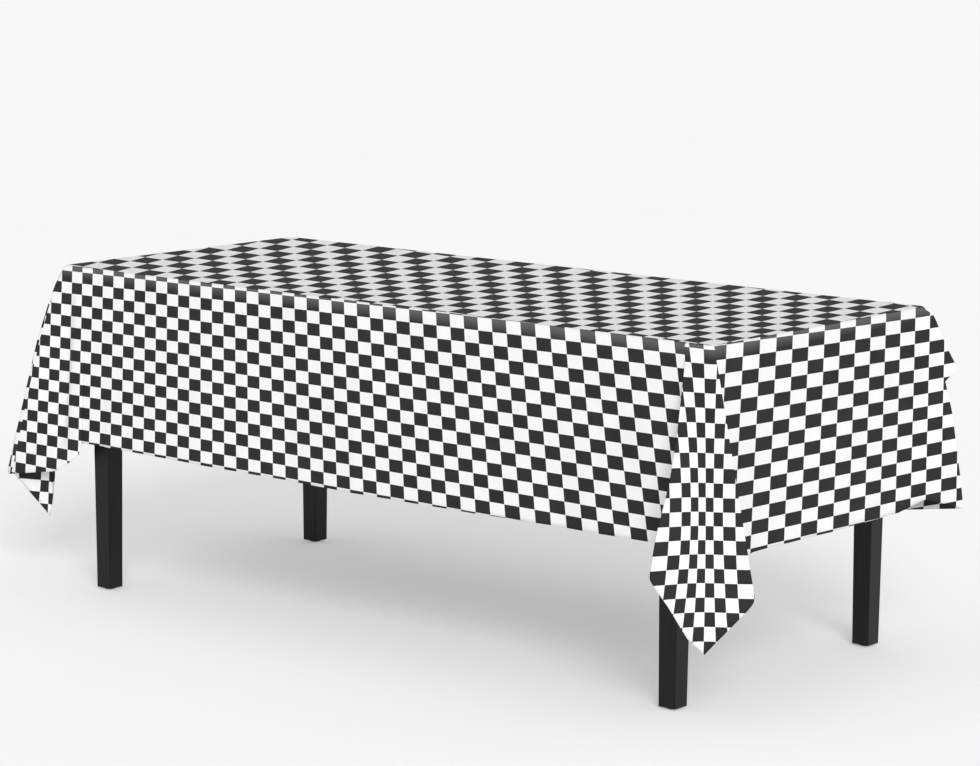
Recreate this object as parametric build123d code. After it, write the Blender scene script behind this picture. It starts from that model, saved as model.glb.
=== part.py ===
"""A rectangular tablecloth laid over a dining table with four square tapered legs.

Millimetres. The origin is on the floor under the middle of the table. +X runs along the table,
+Z is up and -Y is the front. Every piece is written to its own STEP file in parts/.
"""

import os
from math import sqrt

from build123d import *

# ---- driving dimensions: the table ----
TABLE_LENGTH = 1829.0
TABLE_DEPTH = 762.0
TABLE_HEIGHT = 740.0
BOARD_THICKNESS = 25.0
TABLE_CORNER_RADIUS = 18.0
MOULDING_THICKNESS = 6.0
MOULDING_ROUNDING = 5.0
TONGUE_DEPTH = 9.0
TONGUE_THICKNESS = 2.4

LEG_SPACING_X = 1607.0
LEG_SPACING_Y = 693.0
LEG_TOP_WIDTH = 50.0
LEG_FOOT_WIDTH = 41.0
LEG_BLOCK_HEIGHT = 100.0
LEG_EDGE_ROUNDING = 1.5
LEG_INNER_CHAMFER = 14.0

APRON_HEIGHT = 85.0
APRON_THICKNESS = 20.0
APRON_SETBACK = 5.0
RAIL_HEIGHT = 60.0
RAIL_THICKNESS = 20.0
RAIL_PLACES_X = {"left": -300.0, "right": 300.0}

# ---- driving dimensions: the tablecloth ----
CLOTH_LENGTH = 2642.0
CLOTH_WIDTH = 1524.0
CLOTH_THICKNESS = 0.8
CLOTH_GAP = 0.3
CLOTH_SHIFT_X = 14.0
CLOTH_SHIFT_Y = -17.0
HEM_FLARE = 18.0
HEM_END_INSET = 60.0
SLIVER_VOLUME = 1.0
# Where the cloth stands out from the table's corner: along X, along Y, and its hem's distance
# from the line of the table's edge.
LONG_RIDGE = (-36.0, 149.0, 190.0)
SHORT_RIDGE = (112.0, 2.0, 234.0)
TIP_OUT = (42.0, 72.0)

# ---- driving dimensions: fittings ----
BRACKET_REACH = 70.0
BRACKET_FLANGE = 32.0
BRACKET_THICKNESS = 2.5
BRACKET_HEIGHT = 60.0
BRACKET_BEND = 5.0
BRACKET_SCREW_SPREAD = 36.0

BOLT_DIAMETER = 8.0
BOLT_IN_LEG = 33.0
BOLT_TAIL = 5.0
BOLT_SPREAD = 30.0
BOLT_POINT = 6.0
BOLT_TIP_RADIUS = 1.0
BOLT_END_CHAMFER = 1.0
BOLT_HOLE_DIAMETER = 9.0
WASHER_DIAMETER = 20.0
WASHER_THICKNESS = 1.6
NUT_DIAMETER = 13.0
NUT_HEIGHT = 8.0
WING_REACH = 17.0
WING_HEIGHT = 14.0
WING_THICKNESS = 2.6
THREAD_CLEARANCE = 0.2

SCREW_DIAMETER = 4.0
SCREW_HEAD_DIAMETER = 8.0
SCREW_HEAD_HEIGHT = 2.6
SCREW_LENGTH = 15.0
RECESS_LENGTH = 4.4
RECESS_WIDTH = 1.1
RECESS_DEPTH = 1.4
CONFIRMAT_DIAMETER = 6.0
CONFIRMAT_HEAD_DIAMETER = 10.0
CONFIRMAT_HEAD_HEIGHT = 4.0
CONFIRMAT_LENGTH = 48.0
CONFIRMAT_SOCKET_RADIUS = 2.3
CONFIRMAT_SOCKET_DEPTH = 2.8
CONFIRMAT_SPREAD = 30.0

CLIP_LEG = 24.0
CLIP_WIDTH = 22.0
CLIP_THICKNESS = 2.0
CLIP_BEND = 3.0
LONG_APRON_CLIPS_X = (-620.0, 0.0, 620.0)
SHORT_APRON_CLIPS_Y = (-180.0, 180.0)

GLIDE_DIAMETER = 26.0
GLIDE_HEIGHT = 4.0
GLIDE_ROUNDING = 1.2
NAIL_DIAMETER = 2.4
NAIL_LENGTH = 22.0
NAIL_POINT = 4.0
NAIL_TIP_RADIUS = 0.2
NAIL_HEAD_DIAMETER = 6.0
NAIL_HEAD_HEIGHT = 1.0
NAIL_HEAD_DEPTH = 1.2

# ---- places worked out from them ----
BOARD_BOTTOM = TABLE_HEIGHT - BOARD_THICKNESS
HALF_LENGTH = TABLE_LENGTH / 2
HALF_DEPTH = TABLE_DEPTH / 2
LEG_X = LEG_SPACING_X / 2
LEG_Y = LEG_SPACING_Y / 2
APRON_FACE_X = LEG_X + LEG_TOP_WIDTH / 2 - APRON_SETBACK - APRON_THICKNESS
APRON_FACE_Y = LEG_Y + LEG_TOP_WIDTH / 2 - APRON_SETBACK - APRON_THICKNESS
APRON_MIDDLE_Z = BOARD_BOTTOM - APRON_HEIGHT / 2

CORNERS = {
    "front_left": (-1, -1),
    "front_right": (1, -1),
    "back_left": (-1, 1),
    "back_right": (1, 1),
}
DROPS = {
    "front": (CLOTH_WIDTH - TABLE_DEPTH) / 2 - CLOTH_SHIFT_Y,
    "back": (CLOTH_WIDTH - TABLE_DEPTH) / 2 + CLOTH_SHIFT_Y,
    "left": (CLOTH_LENGTH - TABLE_LENGTH) / 2 - CLOTH_SHIFT_X,
    "right": (CLOTH_LENGTH - TABLE_LENGTH) / 2 + CLOTH_SHIFT_X,
}


def block(x_range, y_range, z_range):
    """A rectangular block between two values along each axis."""
    size = [high - low for low, high in (x_range, y_range, z_range)]
    middle = [(high + low) / 2 for low, high in (x_range, y_range, z_range)]
    return Pos(*middle) * Box(*size)


def pointing(solid, place, direction):
    """A solid drawn along +Z, moved to a place and turned so that its +Z points along direction."""
    return Plane(origin=place, z_dir=direction) * solid


def group(solids):
    """Separate equal pieces that share one node."""
    return Compound(children=[item for solid in solids for item in solid.solids()])


# ---- tabletop ----
def table_slab(inset, thickness):
    """A plate of the table's outline, in from its edge by inset, level with the middle of the board."""
    size = (TABLE_LENGTH - 2 * inset, TABLE_DEPTH - 2 * inset)
    outline = RectangleRounded(*size, TABLE_CORNER_RADIUS - inset)
    bottom = BOARD_BOTTOM + (BOARD_THICKNESS - thickness) / 2
    return extrude(Pos(0, 0, bottom) * outline, thickness)


def make_tabletop_and_moulding():
    """The board with a groove all round, and the moulding whose tongue sits in that groove."""
    inner_slab = table_slab(MOULDING_THICKNESS, BOARD_THICKNESS)
    past_tongue = table_slab(MOULDING_THICKNESS + TONGUE_DEPTH, TONGUE_THICKNESS)
    tongue = table_slab(MOULDING_THICKNESS, TONGUE_THICKNESS) - past_tongue
    outer_slab = table_slab(0, BOARD_THICKNESS)
    rims = [edge for face in (Axis.Z, -Axis.Z) for edge in outer_slab.faces().sort_by(face)[-1].edges()]
    return inner_slab - tongue, fillet(rims, MOULDING_ROUNDING) - inner_slab + tongue


# ---- frame ----
def make_leg(side_x, side_y):
    """A square leg: a straight block at the top, tapered evenly on all four faces below it."""
    block_bottom = BOARD_BOTTOM - LEG_BLOCK_HEIGHT
    foot = Pos(0, 0, GLIDE_HEIGHT) * Rectangle(LEG_FOOT_WIDTH, LEG_FOOT_WIDTH)
    shoulder = Pos(0, 0, block_bottom) * Rectangle(LEG_TOP_WIDTH, LEG_TOP_WIDTH)
    half = LEG_TOP_WIDTH / 2
    top_block = block((-half, half), (-half, half), (block_bottom, BOARD_BOTTOM))
    taper = loft([foot, shoulder])
    leg = taper + top_block
    long_edges = leg.edges().filter_by(lambda edge: edge.length > LEG_TOP_WIDTH + 1)
    leg = fillet(long_edges, LEG_EDGE_ROUNDING)
    cut_width = LEG_INNER_CHAMFER * sqrt(2)
    cut = Rot(0, 0, 45) * Box(cut_width, cut_width, LEG_BLOCK_HEIGHT)
    cut_place = Pos(-side_x * half, -side_y * half, BOARD_BOTTOM - LEG_BLOCK_HEIGHT / 2)
    return Pos(side_x * LEG_X, side_y * LEG_Y, 0) * (leg - cut_place * cut)


def make_aprons():
    """Four boards between the legs, with their upper edges under the tabletop."""
    height = (BOARD_BOTTOM - APRON_HEIGHT, BOARD_BOTTOM)
    between_x = LEG_X - LEG_TOP_WIDTH / 2
    between_y = LEG_Y - LEG_TOP_WIDTH / 2
    outer_x = APRON_FACE_X + APRON_THICKNESS
    outer_y = APRON_FACE_Y + APRON_THICKNESS
    return {
        "front": block((-between_x, between_x), (-outer_y, -APRON_FACE_Y), height),
        "back": block((-between_x, between_x), (APRON_FACE_Y, outer_y), height),
        "left": block((-outer_x, -APRON_FACE_X), (-between_y, between_y), height),
        "right": block((APRON_FACE_X, outer_x), (-between_y, between_y), height),
    }


def make_cross_rail(place_x):
    """A rail between the two long aprons, under the board."""
    half = RAIL_THICKNESS / 2
    height = (BOARD_BOTTOM - RAIL_HEIGHT, BOARD_BOTTOM)
    return block((place_x - half, place_x + half), (-APRON_FACE_Y, APRON_FACE_Y), height)


# ---- fasteners, each drawn with its head at +Z and its seat at z = 0 ----
def make_screw():
    """A pan-head wood screw with a cross recess."""
    shank = Pos(0, 0, -SCREW_LENGTH / 2) * Cylinder(SCREW_DIAMETER / 2, SCREW_LENGTH)
    head = Pos(0, 0, SCREW_HEAD_HEIGHT / 2) * Cylinder(SCREW_HEAD_DIAMETER / 2, SCREW_HEAD_HEIGHT)
    head = fillet(head.edges().sort_by(Axis.Z)[-1], SCREW_HEAD_HEIGHT / 2)
    slot = Box(RECESS_LENGTH, RECESS_WIDTH, RECESS_DEPTH * 2)
    recess = slot + Rot(0, 0, 90) * slot
    return shank + head - Pos(0, 0, SCREW_HEAD_HEIGHT) * recess


def make_confirmat_blank():
    """A furniture screw without its socket. Its countersunk head ends flush with the surface."""
    shank = Pos(0, 0, -CONFIRMAT_LENGTH / 2) * Cylinder(CONFIRMAT_DIAMETER / 2, CONFIRMAT_LENGTH)
    head = Pos(0, 0, -CONFIRMAT_HEAD_HEIGHT / 2) * Cone(
        CONFIRMAT_DIAMETER / 2, CONFIRMAT_HEAD_DIAMETER / 2, CONFIRMAT_HEAD_HEIGHT
    )
    return shank + head


def make_confirmat():
    """A furniture screw with its hexagon socket."""
    socket = extrude(RegularPolygon(CONFIRMAT_SOCKET_RADIUS, 6), -CONFIRMAT_SOCKET_DEPTH)
    return make_confirmat_blank() - socket


def make_hanger_bolt(gap):
    """A bolt whose point is screwed into the leg. z = 0 is the leg's face and +Z leads to the nut."""
    tail = gap + BRACKET_THICKNESS + WASHER_THICKNESS + NUT_HEIGHT + BOLT_TAIL
    radius = BOLT_DIAMETER / 2
    shank_length = tail + BOLT_IN_LEG - BOLT_POINT
    shank = Pos(0, 0, tail - shank_length / 2) * Cylinder(radius, shank_length)
    shank = chamfer(shank.edges().sort_by(Axis.Z)[-1], BOLT_END_CHAMFER)
    point = Pos(0, 0, -BOLT_IN_LEG + BOLT_POINT / 2) * Cone(BOLT_TIP_RADIUS, radius, BOLT_POINT)
    return shank + point


def make_washer():
    """A flat washer on the z = 0 face of the bracket."""
    ring = Circle(WASHER_DIAMETER / 2) - Circle(BOLT_DIAMETER / 2 + THREAD_CLEARANCE)
    return extrude(ring, WASHER_THICKNESS)


def make_wing_nut():
    """A wing nut that stands on z = 0: a round body and two raised wings."""
    body = Pos(0, 0, NUT_HEIGHT / 2) * Cone(NUT_DIAMETER / 2, NUT_DIAMETER / 2 - 1.5, NUT_HEIGHT)
    wing = Plane.XZ * make_face(
        Polyline(
            (NUT_DIAMETER / 2 - 3, 1),
            (NUT_DIAMETER / 2 + 1, 1),
            (WING_REACH, NUT_HEIGHT - 1),
            (WING_REACH, WING_HEIGHT),
            (WING_REACH - 5, WING_HEIGHT),
            (NUT_DIAMETER / 2 - 3, NUT_HEIGHT - 1),
            close=True,
        )
    )
    wing = extrude(wing, WING_THICKNESS / 2, both=True)
    wing = fillet(wing.edges().filter_by(Axis.Y).sort_by(Axis.X)[-3:], 2.0)
    bore = Cylinder(BOLT_DIAMETER / 2 + THREAD_CLEARANCE, 4 * NUT_HEIGHT)
    return body + wing + Rot(0, 0, 180) * wing - bore


# ---- corner fittings ----
def corner_axis(side_x, side_y):
    """The level direction from a leg towards the middle of the table, at 45 degrees."""
    return Vector(-side_x, -side_y, 0).normalized()


def chamfer_middle(side_x, side_y):
    """The middle of the leg's chamfered inner corner."""
    back = LEG_TOP_WIDTH / 2 - LEG_INNER_CHAMFER / 2
    return Vector(side_x * (LEG_X - back), side_y * (LEG_Y - back), APRON_MIDDLE_Z)


def web_middle(side_x, side_y):
    """The middle of the bracket's slanted web, on its face towards the leg."""
    back = BRACKET_REACH / 2
    return Vector(side_x * (APRON_FACE_X - back), side_y * (APRON_FACE_Y - back), APRON_MIDDLE_Z)


def bolt_heights():
    """The two hanger bolts at a corner, measured from the middle of the apron."""
    return [Vector(0, 0, step) for step in (-BOLT_SPREAD / 2, BOLT_SPREAD / 2)]


def bolt_gap():
    """The clear distance between the leg's chamfer and the bracket's web."""
    return (web_middle(1, 1) - chamfer_middle(1, 1)).length


def flange_screw_places(side_x, side_y):
    """Where the bracket's screws sit, on its two flanges, and the way each one's head faces."""
    run = BRACKET_REACH + BRACKET_FLANGE / 2 + 4
    face = BRACKET_THICKNESS
    places = []
    for step in (-BRACKET_SCREW_SPREAD / 2, BRACKET_SCREW_SPREAD / 2):
        height = APRON_MIDDLE_Z + step
        on_long = Vector(side_x * (APRON_FACE_X - run), side_y * (APRON_FACE_Y - face), height)
        on_short = Vector(side_x * (APRON_FACE_X - face), side_y * (APRON_FACE_Y - run), height)
        places.append((on_long, Vector(0, -side_y, 0)))
        places.append((on_short, Vector(-side_x, 0, 0)))
    return places


def make_corner_bracket(side_x, side_y):
    """A bent steel strip: a flange on each apron and a slanted web across the corner."""
    near, far = BRACKET_REACH, BRACKET_REACH + BRACKET_FLANGE
    inner_near = near + BRACKET_THICKNESS * (sqrt(2) - 1)
    outer_line = FilletPolyline(
        (-far, 0),
        (-near, 0),
        (0, -near),
        (0, -far),
        radius=BRACKET_BEND + BRACKET_THICKNESS,
    )
    inner_line = FilletPolyline(
        (-far, -BRACKET_THICKNESS),
        (-inner_near, -BRACKET_THICKNESS),
        (-BRACKET_THICKNESS, -inner_near),
        (-BRACKET_THICKNESS, -far),
        radius=BRACKET_BEND,
    )
    ends = [Line(outer_line @ 0, inner_line @ 0), Line(outer_line @ 1, inner_line @ 1)]
    profile = make_face(outer_line.edges() + inner_line.edges() + ends)
    strip = extrude(profile, BRACKET_HEIGHT / 2, both=True)
    strip = scale(strip, by=(side_x, side_y, 1))
    strip = Pos(side_x * APRON_FACE_X, side_y * APRON_FACE_Y, APRON_MIDDLE_Z) * strip
    for step in bolt_heights():
        hole = Cylinder(BOLT_HOLE_DIAMETER / 2, 6 * BRACKET_THICKNESS)
        strip -= pointing(hole, web_middle(side_x, side_y) + step, corner_axis(side_x, side_y))
    return strip


# ---- clips that hold the top ----
def make_top_clip():
    """An angle clip. Its corner is at the origin, one leg runs along -Z and the other along +Y."""
    outline = make_face(
        Polyline(
            (0, 0),
            (CLIP_LEG, 0),
            (CLIP_LEG, -CLIP_THICKNESS),
            (CLIP_THICKNESS, -CLIP_THICKNESS),
            (CLIP_THICKNESS, -CLIP_LEG),
            (0, -CLIP_LEG),
            close=True,
        )
    )
    clip = extrude(Plane.YZ * outline, CLIP_WIDTH / 2, both=True)
    inner_corner = Vertex(0, CLIP_THICKNESS, -CLIP_THICKNESS)
    bend = clip.edges().filter_by(Axis.X).sort_by_distance(inner_corner)[0]
    return fillet(bend, CLIP_BEND)


def clip_frames():
    """A plane for each clip: its origin is where the apron meets the board, +Y points inwards."""
    up = (0, 0, 1)
    frames = []
    for side_y in (-1, 1):
        for place_x in LONG_APRON_CLIPS_X:
            place = (place_x, side_y * APRON_FACE_Y, BOARD_BOTTOM)
            frames.append(Plane(origin=place, x_dir=(-side_y, 0, 0), z_dir=up))
    for side_x in (-1, 1):
        for place_y in SHORT_APRON_CLIPS_Y:
            place = (side_x * APRON_FACE_X, place_y, BOARD_BOTTOM)
            frames.append(Plane(origin=place, x_dir=(0, side_x, 0), z_dir=up))
    return frames


def make_clip_screws():
    """Two screws in a clip's own frame: one into the apron and one up into the board."""
    reach = (CLIP_LEG + CLIP_BEND + CLIP_THICKNESS) / 2
    into_apron = pointing(make_screw(), (0, CLIP_THICKNESS, -reach), (0, 1, 0))
    into_board = pointing(make_screw(), (0, reach, -CLIP_THICKNESS), (0, 0, -1))
    return [into_apron, into_board]


# ---- glides ----
def make_glide():
    """A round plastic glide with its flat face on the floor."""
    disc = Pos(0, 0, GLIDE_HEIGHT / 2) * Cylinder(GLIDE_DIAMETER / 2, GLIDE_HEIGHT)
    return fillet(disc.edges().sort_by(Axis.Z)[0], GLIDE_ROUNDING)


def make_glide_nail():
    """The nail that holds a glide, with its head sunk into the glide."""
    shank_length = NAIL_LENGTH - NAIL_POINT
    head = Pos(0, 0, NAIL_HEAD_HEIGHT / 2) * Cylinder(NAIL_HEAD_DIAMETER / 2, NAIL_HEAD_HEIGHT)
    shank = Pos(0, 0, shank_length / 2) * Cylinder(NAIL_DIAMETER / 2, shank_length)
    tip = Pos(0, 0, shank_length + NAIL_POINT / 2) * Cone(NAIL_DIAMETER / 2, NAIL_TIP_RADIUS, NAIL_POINT)
    return Pos(0, 0, NAIL_HEAD_DEPTH) * (head + shank + tip)


# ---- tablecloth ----
def cloth_panel(*corners):
    """A flat piece of the cloth, with the given corners on its inner side and its thickness outwards.

    Seen from outside, the corners run anticlockwise.
    """
    face = make_face(Polyline(*corners, close=True))
    first, second, third = (Vector(corner) for corner in corners[:3])
    outward = (second - first).cross(third - second).normalized()
    return extrude(face, CLOTH_THICKNESS, dir=outward)


def hanging_depth(length, out_x, out_y):
    """How far down a stretch of cloth reaches that stands out by the given distances."""
    return sqrt(length**2 - out_x**2 - out_y**2)


def cloth_points(side_x, side_y):
    """The points of the draped sheet round one corner of the table.

    The folds start from the two ends of a short cut across the table's rounded corner. A panel hangs
    from there between two ridges, with the tip of the cloth between them.
    """
    long_drop = DROPS["front" if side_y < 0 else "back"]
    short_drop = DROPS["left" if side_x < 0 else "right"]
    gap_x, gap_y = HALF_LENGTH + CLOTH_GAP, HALF_DEPTH + CLOTH_GAP
    cut = (TABLE_CORNER_RADIUS + CLOTH_GAP) * (2 - sqrt(2))
    tip_length = sqrt(long_drop**2 + short_drop**2)
    long_ridge_length = sqrt(long_drop**2 + LONG_RIDGE[2] ** 2)
    short_ridge_length = sqrt(short_drop**2 + SHORT_RIDGE[2] ** 2)
    out_and_depth = {
        "long_start": (-cut, 0, -CLOTH_GAP),
        "short_start": (0, -cut, -CLOTH_GAP),
        "long_hem": (-HEM_END_INSET, HEM_FLARE, hanging_depth(long_drop, 0, HEM_FLARE)),
        "short_hem": (HEM_FLARE, -HEM_END_INSET, hanging_depth(short_drop, 0, HEM_FLARE)),
        "long_ridge": (*LONG_RIDGE[:2], hanging_depth(long_ridge_length, *LONG_RIDGE[:2])),
        "short_ridge": (*SHORT_RIDGE[:2], hanging_depth(short_ridge_length, *SHORT_RIDGE[:2])),
        "tip": (*TIP_OUT, hanging_depth(tip_length, *TIP_OUT)),
    }
    return {
        name: (side_x * (gap_x + out_x), side_y * (gap_y + out_y), TABLE_HEIGHT - depth)
        for name, (out_x, out_y, depth) in out_and_depth.items()
    }


def make_cloth_top():
    """The sheet on the tabletop, as far as the folds over its edges."""
    reach = CLOTH_GAP + CLOTH_THICKNESS
    size = (TABLE_LENGTH + 2 * reach, TABLE_DEPTH + 2 * reach)
    outline = RectangleRounded(*size, TABLE_CORNER_RADIUS + reach)
    return extrude(Pos(0, 0, TABLE_HEIGHT + CLOTH_GAP) * outline, CLOTH_THICKNESS)


def make_cloth_skirts():
    """The four sides of the sheet that hang between the corners."""
    points = {name: cloth_points(*sides) for name, sides in CORNERS.items()}
    runs = {
        "front": ("front_left", "front_right", "long"),
        "right": ("front_right", "back_right", "short"),
        "back": ("back_right", "back_left", "long"),
        "left": ("back_left", "front_left", "short"),
    }
    skirts = {}
    for side, (first, last, run) in runs.items():
        hem, start = f"{run}_hem", f"{run}_start"
        skirts[side] = cloth_panel(
            points[first][hem], points[last][hem], points[last][start], points[first][start]
        )
    return skirts


def make_cloth_corner(side_x, side_y):
    """The folded cloth at a corner: two triangles out to each ridge, and one across the corner."""
    points = cloth_points(side_x, side_y)
    triangles = [
        ["long_start", "long_hem", "long_ridge"],
        ["long_start", "long_ridge", "tip"],
        ["long_start", "tip", "short_start"],
        ["short_start", "tip", "short_ridge"],
        ["short_start", "short_ridge", "short_hem"],
    ]
    if side_x * side_y > 0:
        for triangle in triangles:
            triangle.reverse()
    return group([cloth_panel(*[points[name] for name in triangle]) for triangle in triangles])


def make_cloth():
    """The parts of the sheet, each trimmed where it would run into the one before it.

    Slivers that the trimming leaves at the ends of a panel are dropped.
    """
    panels = {"cloth_top": make_cloth_top()}
    panels |= {f"cloth_skirt_{side}": skirt for side, skirt in make_cloth_skirts().items()}
    panels |= {f"cloth_corner_{corner}": make_cloth_corner(*sides) for corner, sides in CORNERS.items()}
    trimmed = {}
    for name, panel in panels.items():
        pieces = bore(panel, list(trimmed.values())).solids()
        trimmed[name] = group([piece for piece in pieces if piece.volume > SLIVER_VOLUME])
    return trimmed


# ---- assembly ----
def bore(solid, cutters):
    """The solid without the room that each cutter near it takes up."""
    reach = solid.bounding_box()
    for cutter in cutters:
        box = cutter.bounding_box()
        gaps = [reach.min - box.max, box.min - reach.max]
        if all(value <= 0 for gap in gaps for value in gap):
            solid = solid - cutter
    return solid


def corner_fasteners():
    """The bolts, washers, wing nuts and bracket screws of all four corners."""
    fasteners = {"hanger_bolts": [], "bolt_washers": [], "wing_nuts": [], "bracket_screws": []}
    for sides in CORNERS.values():
        axis = corner_axis(*sides)
        for step in bolt_heights():
            seat = web_middle(*sides) + step + axis * BRACKET_THICKNESS
            bolt = pointing(make_hanger_bolt(bolt_gap()), chamfer_middle(*sides) + step, axis)
            fasteners["hanger_bolts"].append(bolt)
            fasteners["bolt_washers"].append(pointing(make_washer(), seat, axis))
            nut_seat = seat + axis * WASHER_THICKNESS
            fasteners["wing_nuts"].append(pointing(make_wing_nut(), nut_seat, axis))
        for place, way in flange_screw_places(*sides):
            fasteners["bracket_screws"].append(pointing(make_screw(), place, way))
    return fasteners


def at_rail_screws(screw):
    """The same screw at each end of each cross rail, twice, through the long aprons."""
    placed = []
    for place_x in RAIL_PLACES_X.values():
        for side_y in (-1, 1):
            for step in (-CONFIRMAT_SPREAD / 2, CONFIRMAT_SPREAD / 2):
                height = BOARD_BOTTOM - RAIL_HEIGHT / 2 + step
                place = (place_x, side_y * (APRON_FACE_Y + APRON_THICKNESS), height)
                placed.append(pointing(screw, place, (0, side_y, 0)))
    return placed


def at_feet(solid):
    """The same solid under each leg, by corner."""
    return {
        corner: Pos(side_x * LEG_X, side_y * LEG_Y, 0) * solid
        for corner, (side_x, side_y) in CORNERS.items()
    }


def build_nodes():
    """Every piece by its node name, with the wooden and steel parts bored for their fasteners."""
    fasteners = corner_fasteners()
    fasteners["rail_screws"] = at_rail_screws(make_confirmat())
    fasteners["glide_nails"] = list(at_feet(make_glide_nail()).values())
    fasteners["clip_screws"] = [frame * screw for frame in clip_frames() for screw in make_clip_screws()]
    clip = bore(make_top_clip(), make_clip_screws())

    board, moulding = make_tabletop_and_moulding()
    nodes = {"tabletop": board, "edge_moulding": moulding}
    nodes |= {f"apron_{side}": apron for side, apron in make_aprons().items()}
    nodes |= {f"cross_rail_{side}": make_cross_rail(place) for side, place in RAIL_PLACES_X.items()}
    nodes |= {f"leg_{corner}": make_leg(*sides) for corner, sides in CORNERS.items()}
    nodes |= {f"corner_bracket_{corner}": make_corner_bracket(*sides) for corner, sides in CORNERS.items()}
    nodes |= {f"glide_{corner}": glide for corner, glide in at_feet(make_glide()).items()}

    rail_bores = at_rail_screws(make_confirmat_blank())
    bored_by = {
        "tabletop": fasteners["clip_screws"],
        "apron_": fasteners["bracket_screws"] + fasteners["clip_screws"] + rail_bores,
        "cross_rail_": rail_bores,
        "leg_": fasteners["hanger_bolts"] + fasteners["glide_nails"],
        "corner_bracket_": fasteners["bracket_screws"],
        "glide_": fasteners["glide_nails"],
    }
    for name, solid in list(nodes.items()):
        for prefix, cutters in bored_by.items():
            if name.startswith(prefix):
                nodes[name] = bore(solid, cutters)

    nodes |= {name: group(solids) for name, solids in fasteners.items()}
    nodes["top_clips"] = group([frame * clip for frame in clip_frames()])
    nodes |= make_cloth()
    return nodes


os.makedirs("parts", exist_ok=True)
for node_name, node_shape in build_nodes().items():
    export_step(node_shape, f"parts/{node_name}.step")
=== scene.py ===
"""A check tablecloth draped over a dining table with square tapered legs, in metres.

The table comes from the frame. The cloth is one sheet, drawn as a ring of lines that run over the
table's edge down to the hem, with a grid inside the ring for the part on the tabletop.
"""

import math

import bmesh
import bpy
import numpy as np
from mathutils import Matrix, Vector


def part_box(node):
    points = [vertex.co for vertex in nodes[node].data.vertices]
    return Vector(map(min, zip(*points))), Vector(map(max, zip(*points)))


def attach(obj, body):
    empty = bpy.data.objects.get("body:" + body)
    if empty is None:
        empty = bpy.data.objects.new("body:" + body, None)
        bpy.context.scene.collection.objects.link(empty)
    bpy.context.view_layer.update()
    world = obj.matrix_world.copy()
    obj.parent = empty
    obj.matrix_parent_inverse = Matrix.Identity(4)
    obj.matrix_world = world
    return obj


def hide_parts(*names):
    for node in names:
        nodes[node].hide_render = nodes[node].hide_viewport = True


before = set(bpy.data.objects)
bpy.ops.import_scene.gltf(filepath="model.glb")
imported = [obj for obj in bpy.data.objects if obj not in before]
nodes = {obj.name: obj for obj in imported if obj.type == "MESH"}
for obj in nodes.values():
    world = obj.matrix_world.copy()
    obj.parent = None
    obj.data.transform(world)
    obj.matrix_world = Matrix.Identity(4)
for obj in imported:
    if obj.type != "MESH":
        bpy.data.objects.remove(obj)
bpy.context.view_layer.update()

# ---- sizes read from the frame ----
table_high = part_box("edge_moulding")[1]
HALF_X = table_high.x
HALF_Y = table_high.y
TABLE_TOP = table_high.z
CORNER_RADIUS = 0.018
CLOTH_LIFT = 0.0007
CLOTH_THICKNESS = 0.0008
DROPS = {
    "front": TABLE_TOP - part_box("cloth_skirt_front")[0].z,
    "back": TABLE_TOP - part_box("cloth_skirt_back")[0].z,
    "left": TABLE_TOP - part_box("cloth_skirt_left")[0].z,
    "right": TABLE_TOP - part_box("cloth_skirt_right")[0].z,
}

# ---- how the cloth hangs ----
# The bend starts inside the table's edge by less than its radius, so the cloth hangs clear of the edge.
BEND_RADIUS = 0.008
BEND_START = 0.006
HANG_OUT = BEND_RADIUS - BEND_START
HEM_FLARE = 0.018
MIDDLE_SAG = 0.006
# The front and right drops, added, for which the folds of tied_corner were drawn.
DRAWN_DROPS = 0.818
SKIRT_STEP = 0.009
FOLD_STEP = 0.010
# The rows on the tabletop, as shares of the way from the grid to the bend.
EDGE_SHARES = (0.0, 0.35, 0.7)
BEND_ROWS = 6
HANG_ROWS = 36
SMOOTHING_PASSES = 3
MERGE_DISTANCE = 0.0002
SLIVER_LENGTH = 0.0001
CREASE_SPACING = 0.33
CREASE_HEIGHT = 0.0012
CREASE_WIDTH = 0.016
# The waves in a hanging side, each with its height, its radians per metre and its start in radians.
WAVES = ((0.0026, 9.1, 0.6), (0.0016, 17.3, 2.1), (0.0008, 41.0, 1.0))

# ---- the cloth's finish ----
DARK_CHECKS = ((0.026, 0.026, 0.027), (0.034, 0.034, 0.035))
LIGHT_CHECKS = ((0.86, 0.86, 0.86), (0.91, 0.91, 0.91))
CLOTH_ROUGHNESS = (0.55, 0.68)
# The dark checks are painted paler over the table's edge, a painted highlight along the bend, fading out
# this far down.
BEND_HIGHLIGHT_COLOUR = (0.13, 0.13, 0.13, 1)
BEND_HIGHLIGHT_DEPTH = 0.026
WEAVE_SCALE = 310.0
WEAVE_DEPTH = 0.00012
CRINKLE_DEPTH = 0.0015

# ---- light ----
SUN_DIRECTION = (0.65, -0.58, 0.5)
SUN_STRENGTH = 1.8
SUN_SOFTNESS = 0.45
WORLD_STRENGTH = 0.56
FLOOR_GLOW = 0.30
FLOOR_REACH = 120.0

# ---- camera ----
CAMERA_PLACE = (4.5051, -5.3859, 1.6697)
CAMERA_TURN = 0.6923
CAMERA_TILT = 0.1618
CAMERA_ROLL = 0.0072
CAMERA_LENS = 118.96
CAMERA_SENSOR = 36.0

# The corners in order round the table, each with the side that comes after it.
RING = (("front_left", "front"), ("front_right", "right"), ("back_right", "back"), ("back_left", "left"))
LONG_SIDES = ("front", "back")


# ---- the table's outline, as a point and an outward direction ----
def corner_signs(corner):
    """Which way the corner lies from the middle of the table."""
    return (1 if "right" in corner else -1, 1 if "back" in corner else -1)


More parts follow.
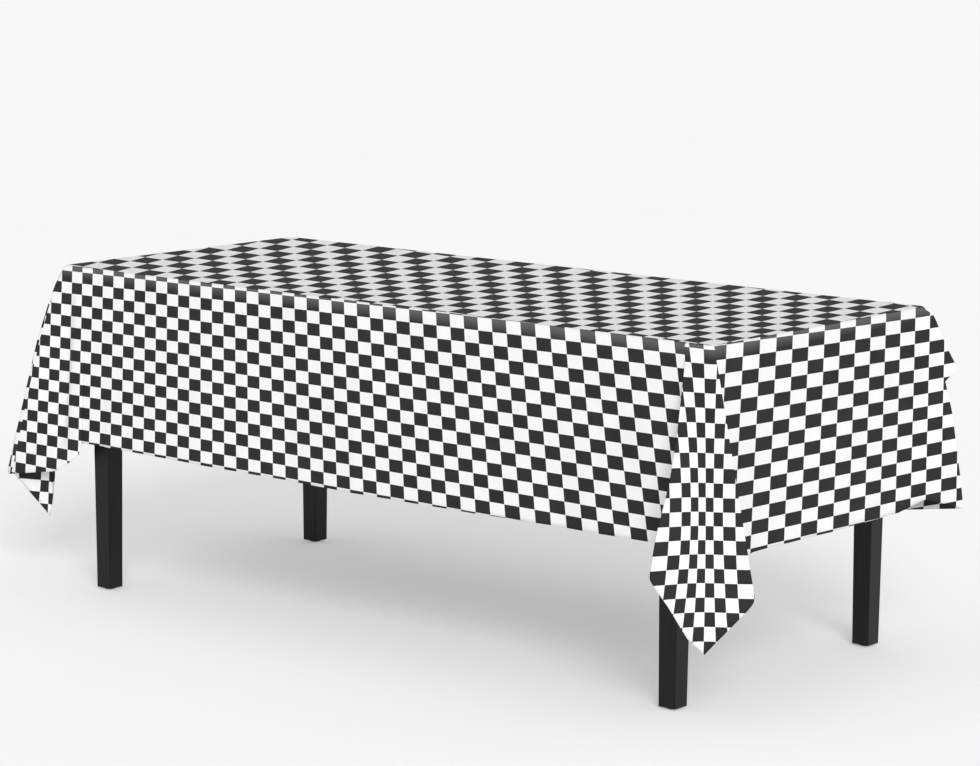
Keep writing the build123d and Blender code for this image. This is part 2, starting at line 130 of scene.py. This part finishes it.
def outline_at(corner, along):
    """The outline at a distance along from the corner: below zero on the long side, above on the short.

    The rounded corner takes up the last stretch of each side, and is passed at an even rate.
    """
    sign_x, sign_y = corner_signs(corner)
    if along <= -CORNER_RADIUS:
        place, outward = (along, 0.0), (0.0, 1.0)
    elif along >= CORNER_RADIUS:
        place, outward = (0.0, -along), (1.0, 0.0)
    else:
        angle = (along / CORNER_RADIUS + 1) * math.pi / 4
        outward = (math.sin(angle), math.cos(angle))
        place = tuple(CORNER_RADIUS * (part - 1) for part in outward)
    point = Vector((sign_x * (HALF_X + place[0]), sign_y * (HALF_Y + place[1]), 0))
    return point, Vector((sign_x * outward[0], sign_y * outward[1], 0))


# ---- the lines of the folds at each corner ----
# Each line is: where it leaves the outline, where it meets the hem, out from the table's corner
# along X and along Y and down, and the part of the cloth between the line before and this one.
def tied_corner(long_drop, short_drop):
    """A panel that hangs from the corner to the tip, over a pleat on each side of it."""
    depth = (long_drop + short_drop) / DRAWN_DROPS
    return [
        (-0.110, (-0.125, HEM_FLARE, long_drop), "long"),
        (-0.073, (-0.005, 0.022, long_drop), "long"),
        (-0.070, (-0.050, 0.045, long_drop + 0.003), "long"),
        (-0.068, (-0.005, 0.065, long_drop + 0.008), "panel"),
        (-0.065, (-0.041, 0.153, 0.430 * depth), "panel"),
        (-0.052, (-0.010, 0.123, 0.492 * depth), "panel"),
        (-0.040, (0.018, 0.097, 0.555 * depth), "panel"),
        (-0.028, (0.042, 0.074, 0.586 * depth), "panel"),
        (-0.006, (0.107, 0.012, 0.493 * depth), "panel"),
        (0.000, (0.112, 0.002, 0.475 * depth), "panel"),
        (0.008, (0.060, 0.012, short_drop + 0.015), "short"),
        (0.011, (0.048, -0.045, short_drop + 0.006), "short"),
        (0.014, (0.022, 0.000, short_drop), "short"),
        (0.110, (HEM_FLARE, -0.110, short_drop), "short"),
    ]


def turned_corner(long_drop, short_drop):
    """A ridge that stands out past the end of the table, with the tip hanging behind it."""
    return [
        (-0.150, (-0.150, HEM_FLARE, long_drop), "long"),
        (-0.120, (-0.105, 0.020, long_drop), "long"),
        (-0.090, (-0.082, 0.022, long_drop), "long"),
        (-0.086, (-0.094, 0.032, long_drop + 0.006), "long"),
        (-0.080, (-0.086, 0.038, long_drop + 0.029), "long"),
        (-0.030, (-0.018, 0.040, 0.468), "long"),
        (0.000, (0.144, 0.042, 0.495), "long"),
        (0.006, (0.154, 0.036, 0.478), "panel"),
        (0.012, (0.050, -0.003, 0.589), "panel"),
        (0.022, (0.050, -0.020, 0.478), "short"),
        (0.030, (0.075, -0.012, 0.440), "short"),
        (0.040, (0.020, -0.045, short_drop), "short"),
        (0.130, (HEM_FLARE, -0.130, short_drop), "short"),
    ]


def wrapped_corner(long_drop, short_drop):
    """A ridge past the end of the long side, with the rest of the corner folded flat behind it."""
    return [
        (-0.150, (-0.150, HEM_FLARE, long_drop), "long"),
        (-0.060, (-0.050, 0.030, long_drop), "long"),
        (-0.050, (-0.285, 0.070, long_drop - 0.022), "long"),
        (-0.035, (-0.240, 0.096, 0.484), "panel"),
        (-0.002, (0.087, 0.026, 0.424), "short"),
        (0.002, (0.093, 0.016, 0.422), "short"),
        (0.020, (0.047, -0.006, 0.412), "short"),
        (0.040, (0.027, -0.034, 0.404), "short"),
        (0.120, (HEM_FLARE, -0.120, short_drop), "short"),
    ]


CORNER_FOLDS = {
    "front_right": tied_corner(DROPS["front"], DROPS["right"]),
    "back_right": wrapped_corner(DROPS["back"], DROPS["right"]),
    "back_left": tied_corner(DROPS["back"], DROPS["left"]),
    "front_left": turned_corner(DROPS["front"], DROPS["left"]),
}
# How far a line stands out along X and along Y, or dips, at each share of the way down to the hem.
TIED_RIDGE = ((0.4, 0.007, -0.006), (0.6, 0.007, -0.006), (0.83, 0.0, 0.0))
TURNED_RIDGE = ((0.07, 0.007, 0.005), (0.16, 0.010, 0.008), (0.35, 0.0125, 0.0095), (0.60, 0.008, 0.006))
TURNED_VALLEY = ((0.15, 0.0, -0.008), (0.50, 0.0, -0.016), (0.80, 0.0, -0.016))
WRAPPED_RIDGE = (
    (0.03, 0.012, 0.011),
    (0.09, 0.016, 0.015),
    (0.18, 0.022, 0.020),
    (0.28, 0.032, 0.030),
    (0.31, 0.033, 0.030),
    (0.35, 0.010, 0.009),
    (0.52, 0.012, 0.010),
    (0.84, 0.005, 0.004),
)
# Each bulge is: where its line leaves the outline, how far along to each side of that it reaches,
# and the shape of its line.
CORNER_BULGES = {
    "front_right": [(-0.065, 0.020, TIED_RIDGE)],
    "back_left": [(-0.065, 0.020, TIED_RIDGE)],
    "front_left": [(0.003, 0.030, TURNED_RIDGE), (-0.032, 0.024, TURNED_VALLEY)],
    "back_right": [(0.000, 0.030, WRAPPED_RIDGE)],
}
DOWN_SHARES = np.linspace(0, 1, HANG_ROWS + 1)


def bulge_of_line(corner, along):
    """How far one line of a corner stands out at each row on its way down."""
    sign_x, sign_y = corner_signs(corner)
    total = np.zeros((HANG_ROWS + 1, 3))
    for middle, reach, profile in CORNER_BULGES[corner]:
        weight = max(0.0, 1 - abs(along - middle) / reach)
        shares = [0, *[step[0] for step in profile], 1]
        for axis, sign in ((0, sign_x), (1, sign_y)):
            outs = [0, *[step[axis + 1] for step in profile], 0]
            total[:, axis] += sign * weight * np.interp(DOWN_SHARES, shares, outs)
    return [Vector(row) for row in total]


def corner_lines(corner):
    """The lines of one corner from its long side to its short side, closer together than the folds."""
    sign_x, sign_y = corner_signs(corner)
    folds = CORNER_FOLDS[corner]
    lines = []
    for (start, hem, _), (next_start, next_hem, part) in zip(folds, folds[1:]):
        steps = max(3, round(math.dist(hem, next_hem) / FOLD_STEP))
        for step in range(steps):
            share = step / steps
            lines.append((start + (next_start - start) * share, Vector(hem).lerp(next_hem, share), part))
    lines.append((folds[-1][0], Vector(folds[-1][1]), folds[-1][2]))
    made = []
    for along, (out_x, out_y, down), part in lines:
        point, outward = outline_at(corner, along)
        hem = Vector((sign_x * (HALF_X + out_x), sign_y * (HALF_Y + out_y), TABLE_TOP - down))
        made.append({
            "edge": point,
            "outward": outward,
            "hem": hem,
            "part": part,
            "corner": corner,
            "bulge": bulge_of_line(corner, along),
        })
    return smooth_folds(made)


def smooth_folds(lines):
    """Rounds the folds by evening out the direction of neighbouring lines, at the same lengths."""
    starts = [line["edge"] + Vector((0, 0, TABLE_TOP)) for line in lines]
    reaches = [line["hem"] - start for line, start in zip(lines, starts)]
    lengths = [reach.length for reach in reaches]
    ways = np.array([reach.normalized() for reach in reaches])
    for _ in range(SMOOTHING_PASSES):
        ways[1:-1] = (ways[:-2] + 2 * ways[1:-1] + ways[2:]) / 4
    for line, start, way, length in zip(lines, starts, ways, lengths):
        line["hem"] = start + Vector(way).normalized() * length
    return lines


def skirt_lines(side, begin_line, end_line):
    """The lines of one straight side, between the nearest lines of its two corners."""
    steps = round((end_line["edge"] - begin_line["edge"]).length / SKIRT_STEP)
    sag = MIDDLE_SAG if side in LONG_SIDES else 0.0
    lines = []
    for step in range(1, steps):
        share = step / steps
        hem = begin_line["hem"].lerp(end_line["hem"], share)
        hem.z -= sag * math.sin(math.pi * share)
        lines.append({
            "edge": begin_line["edge"].lerp(end_line["edge"], share),
            "outward": begin_line["outward"].copy(),
            "hem": hem,
            "part": side,
            "corner": None,
        })
    return lines


def name_parts(corner, lines):
    """Gives a corner's lines the names of the sides that they belong to, or of the corner's panel."""
    names = {
        "long": "front" if "front" in corner else "back",
        "short": "right" if "right" in corner else "left",
        "panel": f"panel_{corner}",
    }
    for line in lines:
        line["part"] = names[line["part"]]


def ring_lines():
    """Every line of the ring, round the table from the front left corner, with its part named."""
    corners = {corner: corner_lines(corner) for corner, _ in RING}
    ring = []
    for index, (corner, side) in enumerate(RING):
        lines = corners[corner]
        next_lines = corners[RING[(index + 1) % len(RING)][0]]
        nearest = 0 if side in LONG_SIDES else -1
        name_parts(corner, lines)
        ring += reversed(lines) if nearest == 0 else lines
        ring += skirt_lines(side, lines[nearest], next_lines[nearest])
    return ring


def ripple(point, side, share):
    """How far a hanging side stands out of its plane, more towards the hem."""
    place = point.x if side in LONG_SIDES else point.y
    waves = sum(height * math.sin(place * rate + start) for height, rate, start in WAVES)
    return waves * share**1.2 + crease(place) * min(1.0, 6 * share)


def crease(place):
    """How far the cloth stands up at a place where it was folded flat for storing."""
    distance = abs((place + CREASE_SPACING / 2) % CREASE_SPACING - CREASE_SPACING / 2)
    return CREASE_HEIGHT * max(0.0, 1 - distance / CREASE_WIDTH)


def line_points(line):
    """The points of one line, from the edge of the grid on the tabletop, over the edge, to the hem."""
    edge, outward = line["edge"], line["outward"]
    up = Vector((0, 0, TABLE_TOP + CLOTH_LIFT))
    bend_start = edge - outward * BEND_START + up
    inner = edge - outward * CORNER_RADIUS + up
    points = [inner.lerp(bend_start, share) for share in EDGE_SHARES]
    bend_end = bend_start + outward * BEND_RADIUS - Vector((0, 0, BEND_RADIUS))
    way = (line["hem"] - bend_end).normalized()
    turn = math.acos(max(-1.0, min(1.0, outward.dot(way))))
    across = (way - outward * math.cos(turn)).normalized()
    for step in range(BEND_ROWS + 1):
        angle = turn * step / BEND_ROWS
        points.append(
            bend_start
            + outward * (BEND_RADIUS * math.sin(angle))
            + across * (BEND_RADIUS * (1 - math.cos(angle)))
        )
    last = points[-1]
    for step in range(1, HANG_ROWS + 1):
        share = step / HANG_ROWS
        point = last.lerp(line["hem"], share)
        if line["corner"] is None:
            point += outward * ripple(point, line["part"], share)
        else:
            point += line["bulge"][step]
        points.append(point)
    return points


# ---- the checks, counted across and down from a place on each face ----
# Each count is mostly the number of checks per metre times the distance. Its small terms make the
# checks lean and widen, as fitted to each face of the photo. Where the cloth stands out from its
# side, the checks shift so that they line up with the side's own when seen from the front right.
def count_front(point):
    """Checks across and down on the front, and on the back."""
    out = abs(point.y) - HALF_Y - HANG_OUT
    x = point.x - (0.9 - 0.2 * point.x) * out
    down = TABLE_TOP - point.z + 0.224 * out
    across = -4.777 + 27.657 * x - 1.335 * x * x - down * (1.310 + 3.371 * x)
    return across, -8.083 + 37.574 * down + (0.341 - 1.374 * down) * x


def count_end(point):
    """Checks across and down on the right end, and on the left."""
    out = abs(point.x) - HALF_X - HANG_OUT
    y = point.y + 1.494 * out
    down = TABLE_TOP - point.z + 0.325 * out
    across = -1.869 + 17.772 * y + down * (0.441 - 1.281 * y)
    return across, -8.330 - 1.035 * y + (35.90 + 0.626 * y) * down + 1.2 * down * down


def count_top(point):
    """Checks along and across the top, where they lie a little skewed."""
    x, y = point.x, point.y
    along = -1.99 + 18.58 * x + 1.98 * x * x + 0.46 * x**3 + (4.0 - 2.14 * x) * y - 0.63 * y * y
    across = 0.17 + 1.43 * x + 0.33 * x * x + 0.29 * x**3 + (13.94 + 1.29 * x) * y - 2.31 * y * y
    return along, across + 1


def count_panel(point, corner):
    """Checks across and down a corner panel, with the narrowest ones in the middle.

    The rows are evenly spaced, but about half way down they lie a few millimetres lower.
    """
    sign_x, sign_y = corner_signs(corner)
    out_x = sign_x * point.x - HALF_X
    out_y = sign_y * point.y - HALF_Y
    down = TABLE_TOP - point.z
    middle = -0.0252 + 0.0142 * down - 0.118 * (down - 0.265) ** 2
    width = 0.0139 + 0.136 * (down - 0.307) ** 2
    growth = max(0.05, 0.37 - 3.6 * (down - 0.32) ** 2)
    sideways = 0.77 * out_x - 0.638 * out_y - middle
    across = math.asinh(2 * math.sinh(growth / 2) * sideways / width) / growth
    bow = 0.0045 * math.exp(-(((down - 0.27) / 0.11) ** 2))
    return 0.5 + across, (down - 0.0065 - bow) / 0.0277


def checks_at(point, part):
    """The check count of a point that belongs to a named part of the cloth."""
    if part == "top":
        return count_top(point)
    if part.startswith("panel"):
        return count_panel(point, part.removeprefix("panel_"))
    return count_front(point) if part in LONG_SIDES else count_end(point)


# ---- the sheet ----
def build_ring(ring):
    """The ring's points, its faces with their part names, and the points at its inner edge.

    The rows on the tabletop belong to the top.
    """
    columns = [line_points(line) for line in ring]
    row_count = len(columns[0])
    verts = [point for column in columns for point in column]
    faces = []
    parts = []
    for index, line in enumerate(ring):
        after = (index + 1) % len(ring)
        part = ring[after]["part"] if line["corner"] is None else line["part"]
        for row in range(row_count - 1):
            here, there = index * row_count + row, after * row_count + row
            faces.append((here, here + 1, there + 1, there))
            parts.append("top" if row < len(EDGE_SHARES) else part)
    return verts, faces, parts, [column[0] for column in columns]


def add_top_grid(verts, faces, parts, inner):
    """Fills the rectangle inside the ring, on lines that pass through the ring's own points."""
    half_x, half_y = HALF_X - CORNER_RADIUS, HALF_Y - CORNER_RADIUS
    close = 1e-5
    places_x = sorted({round(p.x, 6) for p in inner if abs(abs(p.y) - half_y) < close})
    places_y = sorted({round(p.y, 6) for p in inner if abs(abs(p.x) - half_x) < close})
    places_x = [x for x in places_x if abs(x) <= half_x + close]
    places_y = [y for y in places_y if abs(y) <= half_y + close]
    first = len(verts)
    verts += [Vector((x, y, TABLE_TOP + CLOTH_LIFT)) for x in places_x for y in places_y]
    count = len(places_y)
    for column in range(len(places_x) - 1):
        for row in range(count - 1):
            start = first + column * count + row
            faces.append((start, start + 1, start + count + 1, start + count))
            parts.append("top")


def make_sheet():
    """The whole cloth as one mesh, with its check counts in a UV map."""
    verts, faces, parts, inner = build_ring(ring_lines())
    add_top_grid(verts, faces, parts, inner)
    mesh = bpy.data.meshes.new("tablecloth")
    mesh.from_pydata([tuple(point) for point in verts], [], faces)
    uv_map = mesh.uv_layers.new(name="checks")
    for polygon in mesh.polygons:
        for loop_index in polygon.loop_indices:
            point = mesh.vertices[mesh.loops[loop_index].vertex_index].co
            uv_map.data[loop_index].uv = checks_at(point, parts[polygon.index])
    return mesh


def finish_sheet(mesh):
    """The sheet as an object: its points joined where they meet, smooth and with its thickness."""
    work = bmesh.new()
    work.from_mesh(mesh)
    bmesh.ops.remove_doubles(work, verts=work.verts, dist=MERGE_DISTANCE)
    bmesh.ops.dissolve_degenerate(work, edges=work.edges, dist=SLIVER_LENGTH)
    bmesh.ops.recalc_face_normals(work, faces=work.faces)
    top = max(work.faces, key=lambda face: face.calc_center_median().z)
    if top.normal.z < 0:
        bmesh.ops.reverse_faces(work, faces=work.faces)
    work.to_mesh(mesh)
    work.free()
    mesh.shade_smooth()
    sheet = bpy.data.objects.new("tablecloth", mesh)
    bpy.context.scene.collection.objects.link(sheet)
    thickness = sheet.modifiers.new("thickness", "SOLIDIFY")
    thickness.thickness = CLOTH_THICKNESS
    thickness.offset = 0
    return sheet


# ---- materials ----
def new_material(name):
    """A new material with nothing but a shader, and with it its node tree and that shader."""
    material = bpy.data.materials.new(name)
    material.use_nodes = True
    tree = material.node_tree
    tree.nodes.clear()
    output = tree.nodes.new("ShaderNodeOutputMaterial")
    shader = tree.nodes.new("ShaderNodeBsdfPrincipled")
    tree.links.new(shader.outputs[0], output.inputs["Surface"])
    return material, tree, shader


def noise(tree, vector, scale, detail=4.0, roughness=0.55):
    """A noise texture's value over the given coordinates."""
    node = tree.nodes.new("ShaderNodeTexNoise")
    node.inputs["Scale"].default_value = scale
    node.inputs["Detail"].default_value = detail
    node.inputs["Roughness"].default_value = roughness
    tree.links.new(vector, node.inputs["Vector"])
    return node.outputs["Fac"]


def ramp(tree, value, low, high, start=0.0, end=1.0):
    """Two colours, blended as the value goes from start to end.

    The node's sockets for colours come after its six for numbers, and have the same names.
    """
    node = tree.nodes.new("ShaderNodeMapRange")
    node.data_type = "FLOAT_VECTOR"
    for socket, colour in zip(node.inputs[7:11], ((start,) * 3, (end,) * 3, low, high)):
        socket.default_value = colour
    tree.links.new(value, node.inputs[6])
    return node.outputs[1]


def spread(tree, value, low, high, start=0.0, end=1.0):
    """A number that goes from low to high as the value goes from start to end."""
    node = tree.nodes.new("ShaderNodeMapRange")
    for name, number in (("From Min", start), ("From Max", end), ("To Min", low), ("To Max", high)):
        node.inputs[name].default_value = number
    tree.links.new(value, node.inputs["Value"])
    return node.outputs["Result"]


def bump(tree, shader, height, distance, strength=1.0, below=None):
    """A bump from a height value, over another bump if there is one."""
    node = tree.nodes.new("ShaderNodeBump")
    node.inputs["Distance"].default_value = distance
    node.inputs["Strength"].default_value = strength
    tree.links.new(height, node.inputs["Height"])
    if below is not None:
        tree.links.new(below, node.inputs["Normal"])
    tree.links.new(node.outputs["Normal"], shader.inputs["Normal"])
    return node.outputs["Normal"]


def object_place(tree, scale=(1, 1, 1)):
    """Coordinates fixed to the piece, stretched by scale."""
    place = tree.nodes.new("ShaderNodeTexCoord").outputs["Object"]
    mapping = tree.nodes.new("ShaderNodeMapping")
    mapping.inputs["Scale"].default_value = scale
    tree.links.new(place, mapping.inputs["Vector"])
    return mapping.outputs["Vector"]


def math_node(tree, operation, first, second=None):
    """One math step on values or numbers."""
    node = tree.nodes.new("ShaderNodeMath")
    node.operation = operation
    for socket, value in zip(node.inputs, (first, second)):
        if isinstance(value, (int, float)):
            socket.default_value = value
        elif value is not None:
            tree.links.new(value, socket)
    return node.outputs[0]


def paint_bend_highlight(tree, place, colour):
    """The dark colour, painted paler towards the table's edge over the top of the drop: a painted
    highlight along the bend.
    """
    height = tree.nodes.new("ShaderNodeSeparateXYZ")
    tree.links.new(place, height.inputs[0])
    lowest = TABLE_TOP - BEND_HIGHLIGHT_DEPTH
    below_top = spread(tree, height.outputs["Z"], 0.0, 1.0, lowest, TABLE_TOP)
    off_top = math_node(tree, "LESS_THAN", height.outputs["Z"], TABLE_TOP + CLOTH_LIFT / 3)
    mix = tree.nodes.new("ShaderNodeMix")
    mix.data_type = "RGBA"
    mix.inputs[7].default_value = BEND_HIGHLIGHT_COLOUR
    tree.links.new(math_node(tree, "MULTIPLY", below_top, off_top), mix.inputs[0])
    tree.links.new(colour, mix.inputs[6])
    return mix.outputs[2]


def make_check_cloth():
    """Black and white checks on a closely woven, nearly matt cloth."""
    material, tree, shader = new_material("check_cloth")
    counts = tree.nodes.new("ShaderNodeUVMap")
    counts.uv_map = "checks"
    checker = tree.nodes.new("ShaderNodeTexChecker")
    checker.inputs["Scale"].default_value = 1.0
    tree.links.new(counts.outputs["UV"], checker.inputs["Vector"])
    place = object_place(tree)
    patches = noise(tree, place, 14.0)
    dark = ramp(tree, patches, *DARK_CHECKS, 0.3, 0.7)
    light = ramp(tree, patches, *LIGHT_CHECKS, 0.3, 0.7)
    # The dark checks carry the painted highlight along the bend.
    tree.links.new(paint_bend_highlight(tree, place, dark), checker.inputs["Color1"])
    tree.links.new(light, checker.inputs["Color2"])
    tree.links.new(checker.outputs["Color"], shader.inputs["Base Color"])
    tree.links.new(spread(tree, patches, *CLOTH_ROUGHNESS, 0.3, 0.7), shader.inputs["Roughness"])
    shader.inputs["Specular IOR Level"].default_value = 0.05
    threads = []
    for axis in ("X", "Y", "Z"):
        wave = tree.nodes.new("ShaderNodeTexWave")
        wave.bands_direction = axis
        wave.inputs["Scale"].default_value = WEAVE_SCALE
        wave.inputs["Distortion"].default_value = 0.4
        tree.links.new(place, wave.inputs["Vector"])
        threads.append(wave.outputs["Fac"])
    weave = math_node(tree, "ADD", math_node(tree, "ADD", threads[0], threads[1]), threads[2])
    crinkle = bump(tree, shader, noise(tree, place, 22.0, 3.0), CRINKLE_DEPTH, 0.35)
    bump(tree, shader, weave, WEAVE_DEPTH, 0.5, crinkle)
    return material


def make_wood(name, low, high, roughness, grain_scale, grain_axis=0, bump_depth=0.0002):
    """Wood, painted or bare: long thin grain along one axis, with worn patches in its gloss."""
    material, tree, shader = new_material(name)
    scale = [grain_scale] * 3
    scale[grain_axis] = grain_scale / 18
    grain = noise(tree, object_place(tree, tuple(scale)), 1.0, 8.0, 0.65)
    patches = noise(tree, object_place(tree), 9.0)
    tree.links.new(ramp(tree, grain, low, high, 0.35, 0.65), shader.inputs["Base Color"])
    tree.links.new(spread(tree, patches, *roughness, 0.3, 0.7), shader.inputs["Roughness"])
    shader.inputs["Specular IOR Level"].default_value = 0.24
    bump(tree, shader, grain, bump_depth, 0.6)
    return material


def make_plastic(name, low, high, roughness, grain=900.0):
    """Moulded plastic with a fine texture."""
    material, tree, shader = new_material(name)
    place = object_place(tree)
    fine = noise(tree, place, grain, 2.0)
    patches = noise(tree, place, 12.0)
    tree.links.new(ramp(tree, patches, low, high, 0.3, 0.7), shader.inputs["Base Color"])
    tree.links.new(spread(tree, patches, *roughness, 0.3, 0.7), shader.inputs["Roughness"])
    bump(tree, shader, fine, 0.0001, 0.4)
    return material


def make_zinc():
    """Zinc-plated steel with a cloudy bright finish."""
    material, tree, shader = new_material("zinc_steel")
    place = object_place(tree)
    clouds = noise(tree, place, 60.0)
    tone = ramp(tree, clouds, (0.50, 0.51, 0.50), (0.68, 0.69, 0.70), 0.3, 0.7)
    tree.links.new(tone, shader.inputs["Base Color"])
    tree.links.new(spread(tree, clouds, 0.28, 0.46, 0.3, 0.7), shader.inputs["Roughness"])
    shader.inputs["Metallic"].default_value = 1.0
    bump(tree, shader, noise(tree, place, 700.0, 2.0), 0.00008, 0.4)
    return material


def paint_table():
    """Gives every table node the material of its slot."""
    black = ((0.003, 0.003, 0.0034), (0.006, 0.006, 0.007))
    upright = make_wood("black_wood_upright", *black, (0.30, 0.42), 160.0, 2)
    lying = make_wood("black_wood_along_x", *black, (0.30, 0.42), 160.0, 0)
    across = make_wood("black_wood_along_y", *black, (0.30, 0.42), 160.0, 1)
    pine = make_wood("plain_wood", (0.50, 0.33, 0.17), (0.66, 0.48, 0.28), (0.55, 0.70), 90.0, 1)
    top = make_wood("top_laminate", (0.014, 0.014, 0.015), (0.024, 0.024, 0.026), (0.34, 0.44), 120.0, 0)
    edging = make_plastic("edge_moulding", (0.014, 0.014, 0.015), (0.02, 0.02, 0.021), (0.36, 0.46))
    zinc = make_zinc()
    glide = make_plastic("glide_plastic", (0.05, 0.05, 0.05), (0.07, 0.07, 0.07), (0.5, 0.6))
    finishes = {
        "tabletop": top,
        "edge_moulding": edging,
        "apron_front": lying,
        "apron_back": lying,
        "apron_left": across,
        "apron_right": across,
        "cross_rail": pine,
        "leg_": upright,
        "corner_bracket": zinc,
        "glide_nails": zinc,
        "glide_": glide,
    }
    for name, node in nodes.items():
        chosen = next((finish for start, finish in finishes.items() if name.startswith(start)), zinc)
        node.data.materials.clear()
        node.data.materials.append(chosen)


# ---- surroundings ----
def make_floor():
    """A wide pale floor, lit a little from below like a light table."""
    corners = [(x * FLOOR_REACH, y * FLOOR_REACH, 0) for x, y in ((-1, -1), (1, -1), (1, 1), (-1, 1))]
    mesh = bpy.data.meshes.new("floor")
    mesh.from_pydata(corners, [], [(0, 1, 2, 3)])
    floor = bpy.data.objects.new("floor", mesh)
    bpy.context.scene.collection.objects.link(floor)
    material, tree, shader = new_material("pale_floor")
    tone = ramp(tree, noise(tree, object_place(tree), 1.2), (0.74, 0.74, 0.74), (0.77, 0.77, 0.77))
    tree.links.new(tone, shader.inputs["Base Color"])
    shader.inputs["Roughness"].default_value = 0.9
    shader.inputs["Specular IOR Level"].default_value = 0.1
    shader.inputs["Emission Color"].default_value = (1, 1, 1, 1)
    shader.inputs["Emission Strength"].default_value = FLOOR_GLOW
    mesh.materials.append(material)


def make_light():
    """A broad soft light from far away, off the front right corner."""
    data = bpy.data.lights.new("key", "SUN")
    data.energy = SUN_STRENGTH
    data.angle = SUN_SOFTNESS
    lamp = bpy.data.objects.new("key", data)
    bpy.context.scene.collection.objects.link(lamp)
    lamp.rotation_euler = (-Vector(SUN_DIRECTION)).to_track_quat("-Z", "Y").to_euler()


def make_world():
    """Even white light from all round, before a plain white backdrop."""
    world = bpy.data.worlds.new("studio")
    world.use_nodes = True
    tree = world.node_tree
    light = tree.nodes["Background"]
    backdrop = tree.nodes.new("ShaderNodeBackground")
    for background, strength in ((light, WORLD_STRENGTH), (backdrop, 1.0)):
        background.inputs["Color"].default_value = (1, 1, 1, 1)
        background.inputs["Strength"].default_value = strength
    seen = tree.nodes.new("ShaderNodeLightPath")
    either = tree.nodes.new("ShaderNodeMixShader")
    tree.links.new(seen.outputs["Is Camera Ray"], either.inputs[0])
    tree.links.new(light.outputs[0], either.inputs[1])
    tree.links.new(backdrop.outputs[0], either.inputs[2])
    tree.links.new(either.outputs[0], tree.nodes["World Output"].inputs["Surface"])
    bpy.context.scene.world = world


def make_camera():
    """A long lens at standing height, off the table's front right corner."""
    flat_ahead = Vector((-math.sin(CAMERA_TURN), math.cos(CAMERA_TURN), 0))
    forward = flat_ahead * math.cos(CAMERA_TILT) - Vector((0, 0, math.sin(CAMERA_TILT)))
    level = Vector((math.cos(CAMERA_TURN), math.sin(CAMERA_TURN), 0))
    upright = level.cross(forward)
    right = level * math.cos(CAMERA_ROLL) + upright * math.sin(CAMERA_ROLL)
    up = upright * math.cos(CAMERA_ROLL) - level * math.sin(CAMERA_ROLL)
    data = bpy.data.cameras.new("camera")
    data.sensor_width = CAMERA_SENSOR
    data.lens = CAMERA_LENS
    camera = bpy.data.objects.new("camera", data)
    bpy.context.scene.collection.objects.link(camera)
    axes = Matrix((right, up, -forward)).transposed().to_4x4()
    camera.matrix_world = Matrix.Translation(Vector(CAMERA_PLACE)) @ axes
    bpy.context.scene.camera = camera


sheet = finish_sheet(make_sheet())
sheet.data.materials.append(make_check_cloth())
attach(sheet, "tablecloth")
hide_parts(*[name for name in nodes if name.startswith("cloth_")])

paint_table()
make_floor()
make_light()
make_world()
make_camera()
# The standard view shows the cloth's black and white as they are, with no film curve.
bpy.context.scene.view_settings.view_transform = "Standard"
